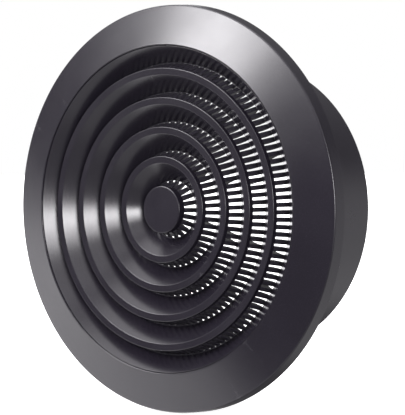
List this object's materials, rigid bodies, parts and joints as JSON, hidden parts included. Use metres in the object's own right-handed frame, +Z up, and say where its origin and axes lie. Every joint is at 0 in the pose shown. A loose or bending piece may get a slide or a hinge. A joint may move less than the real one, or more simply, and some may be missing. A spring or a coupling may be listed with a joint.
{
  "type": "ceiling air diffuser",
  "caption": "Round ceiling air diffuser with concentric louvre rings, fine slats between them, a flat centre disc, a shallow conical flange and a plain round duct spigot; the core pulls out.",
  "frame": {"origin": "on the diffuser's axis, in the plane of the flange's back rim, which is the ceiling plane", "axes": "+Y along the axis into the duct, so the face looks towards -Y as in the picture; +Z is up. Turn it about X by +90 degrees to hang it under a horizontal ceiling"},
  "size_m": [0.2042, 0.0734, 0.2042],
  "materials": {
    "flange_plastic": "satin anthracite with a fine metallic fleck",
    "neck_plastic": "satin anthracite",
    "core_plastic": "satin to glossy anthracite",
    "slat_plastic": "satin anthracite",
    "gasket_foam": "matte closed-cell foam",
    "clip_steel": "plain spring steel"
  },
  "bodies": {
    "neck": {"flange_ring": "flange_plastic", "neck_spigot": "neck_plastic", "flange_gasket": "gasket_foam"},
    "core": {"core_outer_cone": "core_plastic", "centre_disc": "core_plastic", "louvre_ring_1": "core_plastic", "louvre_ring_2": "core_plastic", "louvre_ring_3": "core_plastic", "louvre_ring_4": "core_plastic", "slat_ring_0": "slat_plastic", "slat_ring_1": "slat_plastic", "slat_ring_2": "slat_plastic", "slat_ring_3": "slat_plastic", "slat_ring_4": "slat_plastic", "core_clip_1": "clip_steel", "core_clip_2": "clip_steel", "core_clip_3": "clip_steel"}
  },
  "joints": [
    {"name": "core_pull", "type": "slide", "parent": "neck", "child": "core", "axis": [0, -1, 0], "range_m": [0, 0.04]}
  ]
}
